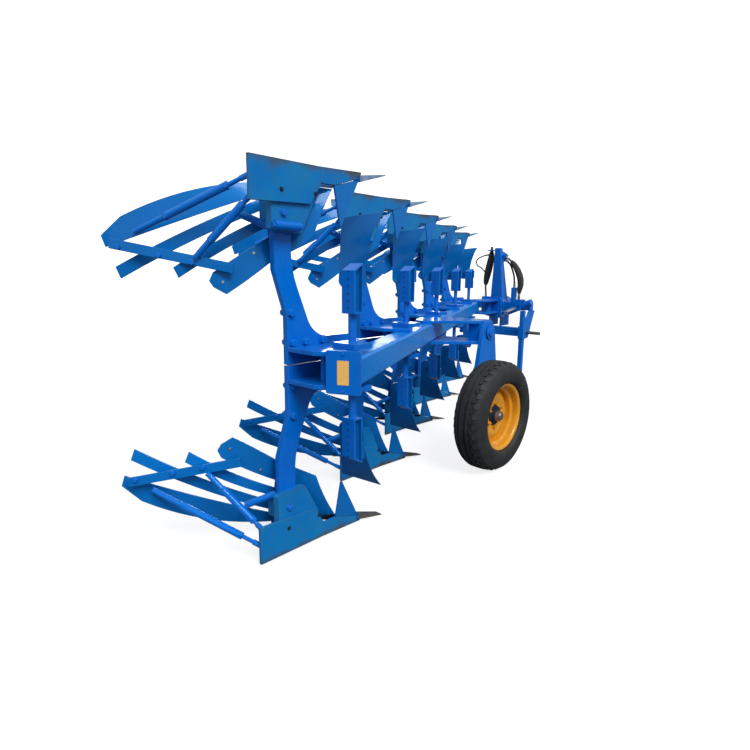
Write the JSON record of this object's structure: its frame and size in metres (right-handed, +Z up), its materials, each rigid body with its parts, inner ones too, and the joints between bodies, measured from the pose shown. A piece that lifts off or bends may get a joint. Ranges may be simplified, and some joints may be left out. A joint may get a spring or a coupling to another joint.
{
  "type": "mounted reversible mouldboard plough",
  "caption": "Mounted reversible mouldboard plough with slatted bodies in pairs along a square beam, a turnover headstock and a gauge wheel.",
  "frame": {"origin": "middle of the lower hitch pins' common axis", "axes": "+Y forward along the travel, +X to the right, +Z up; the ground lies 0.54 m below the origin"},
  "size_m": [2.5839, 5.3759, 1.68],
  "materials": {
    "blue_paint": "gloss paint",
    "worn_share_steel": "grey-blue protective paint, worn at the edges",
    "plain_steel": "dull steel with a brown film",
    "yellow_paint": "satin orange-yellow paint",
    "yellow_label": "blank orange-yellow label",
    "tyre": "dusty black rubber",
    "rod_chrome": "bright chromed rod",
    "hose_rubber": "black hydraulic hose"
  },
  "bodies": {
    "headstock": {"headstock_crossbeam": "blue_paint", "headstock_cheeks": "blue_paint", "hitch_pins": "plain_steel", "turnover_housing": "blue_paint", "headstock_upper_tubes": "blue_paint", "headstock_webs": "blue_paint", "mast": "blue_paint", "top_link_ears": "blue_paint", "hose_left": "hose_rubber", "hose_loop": "hose_rubber", "hose_right_outer": "hose_rubber", "hose_right_inner": "hose_rubber", "valve_block": "blue_paint", "coupling_bosses": "blue_paint", "coupling_holder": "blue_paint", "cylinder_bracket": "blue_paint", "stand_sleeve": "blue_paint"},
    "plough_frame": {"main_beam": "blue_paint", "beam_end_plate": "blue_paint", "blank_label": "yellow_label", "console_plates": "blue_paint", "console_spacers": "plain_steel", "legs_lower": "blue_paint", "legs_upper": "blue_paint", "frogs_lower": "blue_paint", "frogs_upper": "blue_paint", "landsides_lower": "worn_share_steel", "landsides_upper": "worn_share_steel", "points_lower": "worn_share_steel", "points_upper": "worn_share_steel", "fins_lower": "worn_share_steel", "fins_upper": "worn_share_steel", "slats_lower": "worn_share_steel", "slats_upper": "worn_share_steel", "breasts_lower": "worn_share_steel", "breasts_upper": "worn_share_steel", "shares_lower": "worn_share_steel", "shares_upper": "worn_share_steel", "rails_lower": "blue_paint", "rails_upper": "blue_paint", "stays_lower": "plain_steel", "stays_upper": "plain_steel", "skimmer_stems_lower": "blue_paint", "skimmer_stems_upper": "blue_paint", "skimmer_boards_lower": "worn_share_steel", "skimmer_boards_upper": "worn_share_steel", "wheel_console": "blue_paint", "wheel_pivot": "plain_steel", "turning_head": "blue_paint", "head_plates": "blue_paint", "shaft_collar": "plain_steel"},
    "wheel_arm": {"wheel_arm": "blue_paint", "stub_axle": "plain_steel"},
    "gauge_wheel": {"wheel_hub": "blue_paint", "wheel_rim": "yellow_paint", "tyre": "tyre"},
    "cylinder_barrel": {"cylinder_barrel": "blue_paint"},
    "cylinder_rod": {"cylinder_rod": "rod_chrome"},
    "parking_stand": {"parking_stand": "blue_paint"}
  },
  "joints": [
    {"name": "turnover", "type": "hinge", "parent": "headstock", "child": "plough_frame", "pos_m": [0, 0, 0.3], "axis": [0, -1, 0], "range_deg": [0, 180]},
    {"name": "cylinder_swing", "type": "hinge", "parent": "headstock", "child": "cylinder_barrel", "pos_m": [0.36, -0.01, 0.3], "axis": [0, 1, 0], "range_deg": [0, 35.51]},
    {"name": "cylinder_stroke", "type": "slide", "parent": "cylinder_barrel", "child": "cylinder_rod", "axis": [-0.9227, 0, -0.3854], "range_m": [-0.0652, 0.2028]},
    {"name": "wheel_swing", "type": "hinge", "parent": "plough_frame", "child": "wheel_arm", "pos_m": [1.52, -2.72992, 0.3], "axis": [-1, 0, 0], "range_deg": [0, 124.1]},
    {"name": "wheel_spin", "type": "hinge", "parent": "wheel_arm", "child": "gauge_wheel", "pos_m": [1.745, -2.98992, -0.19], "axis": [-1, 0, 0], "continuous": true},
    {"name": "stand_slide", "type": "slide", "parent": "headstock", "child": "parking_stand", "axis": [0, 0, 1], "range_m": [0, 0.38]}
  ],
  "couplings": [
    {"joint": "cylinder_swing", "follows": "turnover", "ratio": 0.19717}
  ]
}
